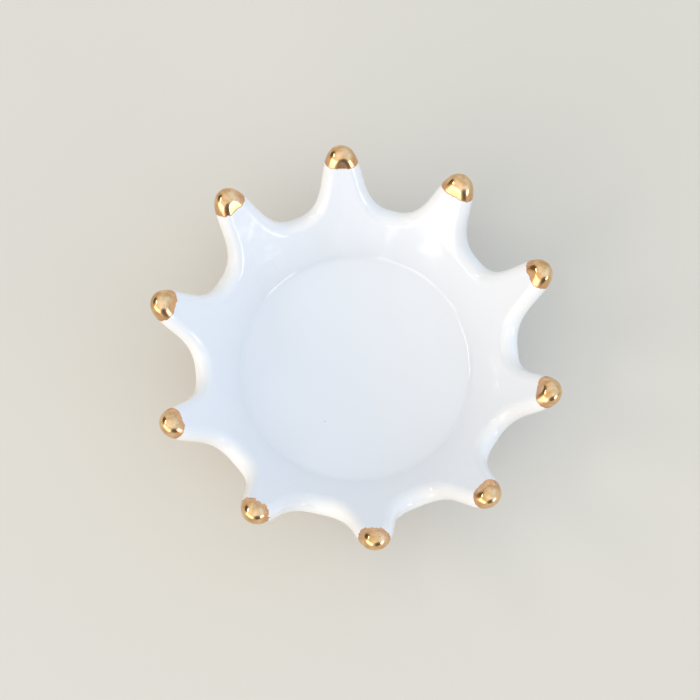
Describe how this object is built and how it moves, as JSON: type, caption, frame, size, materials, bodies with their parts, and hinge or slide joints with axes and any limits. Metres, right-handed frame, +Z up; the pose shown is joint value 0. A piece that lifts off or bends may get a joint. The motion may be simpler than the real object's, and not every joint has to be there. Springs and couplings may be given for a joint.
{
  "type": "ring dish",
  "caption": "Small round ceramic ring dish: a shallow glazed well inside a steep wall that runs out into blunt gold-tipped horns for rings to hang on.",
  "frame": {"origin": "middle of the foot ring, on the surface that the dish rests on", "axes": "+Z up, the way the well opens; +Y towards the first horn"},
  "size_m": [0.12, 0.1256, 0.04],
  "materials": {
    "glaze": "gloss",
    "gold_lustre": "polished"
  },
  "bodies": {
    "root": {"dish_body": "glaze", "gold_tip_01": "gold_lustre", "gold_tip_02": "gold_lustre", "gold_tip_03": "gold_lustre", "gold_tip_04": "gold_lustre", "gold_tip_05": "gold_lustre", "gold_tip_06": "gold_lustre", "gold_tip_07": "gold_lustre", "gold_tip_08": "gold_lustre", "gold_tip_09": "gold_lustre", "gold_tip_10": "gold_lustre"}
  },
  "joints": []
}
